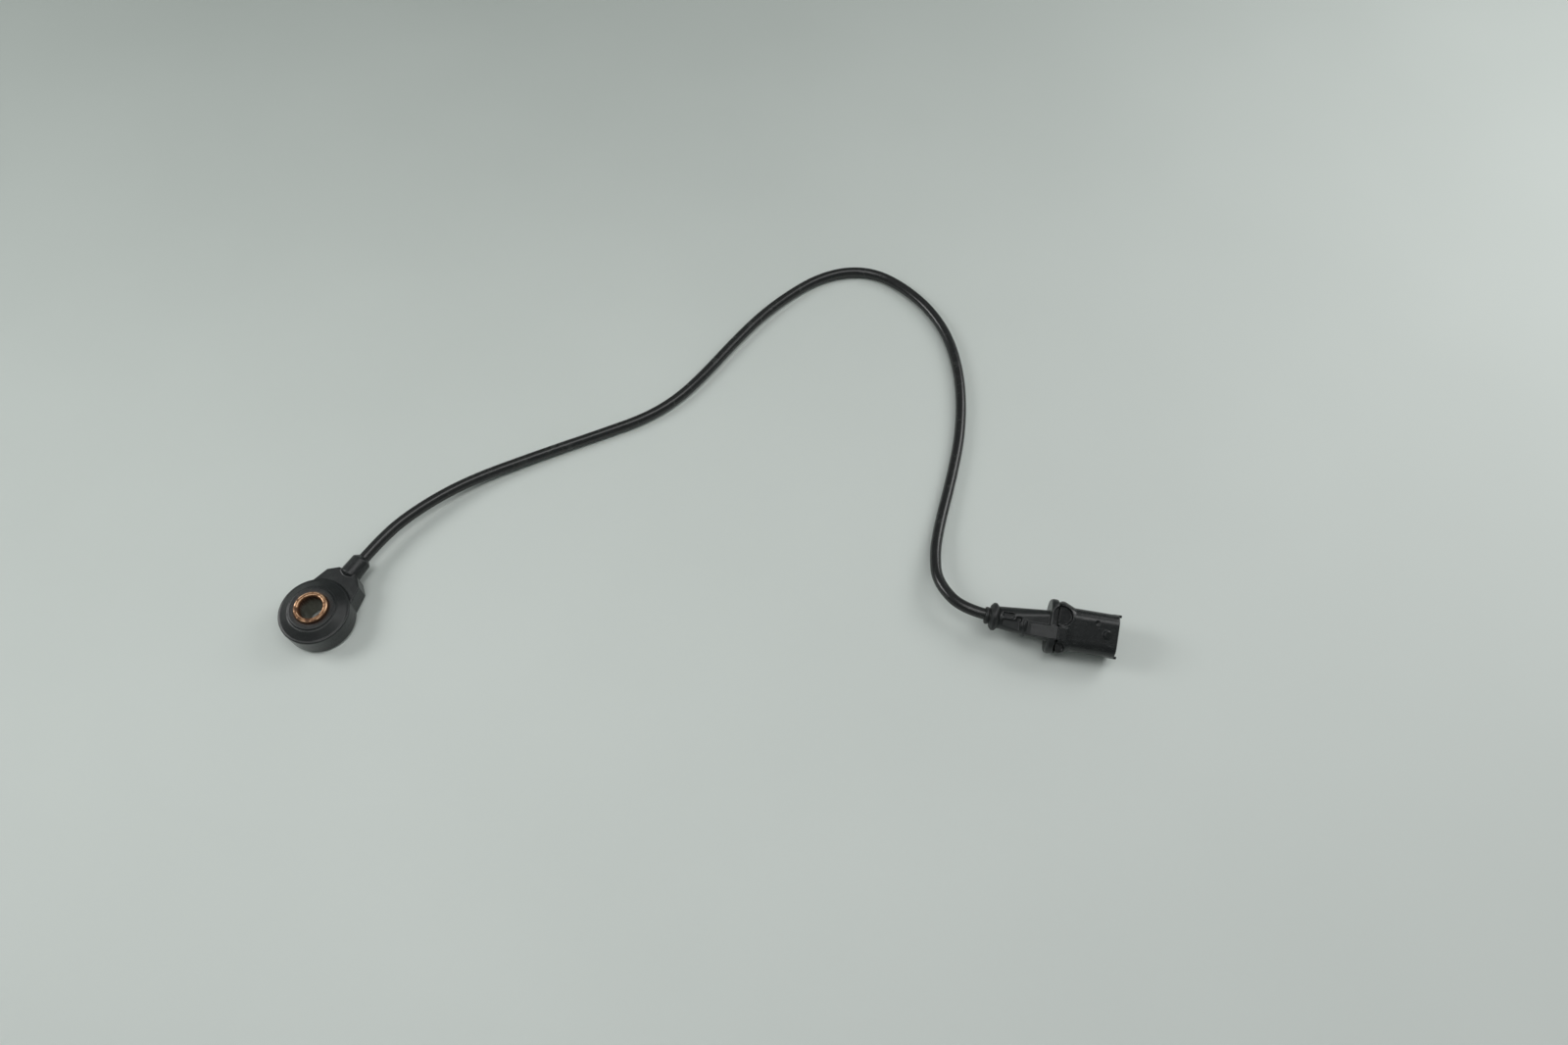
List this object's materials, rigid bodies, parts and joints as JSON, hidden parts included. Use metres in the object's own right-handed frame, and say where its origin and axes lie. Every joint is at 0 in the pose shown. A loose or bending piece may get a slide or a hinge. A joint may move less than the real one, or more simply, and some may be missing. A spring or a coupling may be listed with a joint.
{
  "type": "knock sensor",
  "caption": "Annular engine knock sensor: bolt-through steel sleeve in a moulded head, with a flying cable to an oval pin connector.",
  "frame": {"origin": "on the bolt bore's axis, at the plane of the sleeve's lower contact face", "axes": "+Z along the bolt, away from the engine block; +X out of the head along the cable neck; the cable and plug lie on the plane of the contact face"},
  "size_m": [0.2578, 0.269, 0.0155],
  "materials": {
    "rusted_steel": "steel with a copper-brown rust film, rubbed bright on the bolt face",
    "black_moulding": "satin black glass-filled plastic, dusty",
    "connector_moulding": "satin black plastic, glossier on rounded edges",
    "cable_sheath": "satin black flexible sheath",
    "strain_relief_rubber": "matt black rubber, dusty",
    "insulating_film": "amber polymer film",
    "contact_brass": "bright stamped brass",
    "tinned_terminal": "tin-plated stamped brass",
    "piezo_ceramic": "sintered lead-zirconate ceramic with silvered faces",
    "plain_steel": "turned steel",
    "core_insulation": "pale extruded core insulation",
    "copper_wire": "stranded copper, shown as one round conductor"
  },
  "bodies": {
    "root": {"cable_jacket": "cable_sheath", "contact_disc_lower": "contact_brass", "contact_disc_upper": "contact_brass", "disc_spring": "plain_steel", "head_core_a": "core_insulation", "head_core_b": "core_insulation", "head_wire_a": "copper_wire", "head_wire_b": "copper_wire", "insulating_liner": "insulating_film", "insulating_washer_lower": "insulating_film", "insulating_washer_upper": "insulating_film", "mounting_sleeve": "rusted_steel", "piezo_ring": "piezo_ceramic", "plug_core_a": "core_insulation", "plug_core_b": "core_insulation", "plug_grip": "strain_relief_rubber", "plug_rear_body": "black_moulding", "plug_shroud": "connector_moulding", "plug_wire_a": "copper_wire", "plug_wire_b": "copper_wire", "retaining_nut": "plain_steel", "seismic_mass": "plain_steel", "sensor_housing": "black_moulding", "splice_a": "contact_brass", "splice_b": "contact_brass", "terminal_pin_a": "tinned_terminal", "terminal_pin_b": "tinned_terminal"}
  },
  "joints": []
}
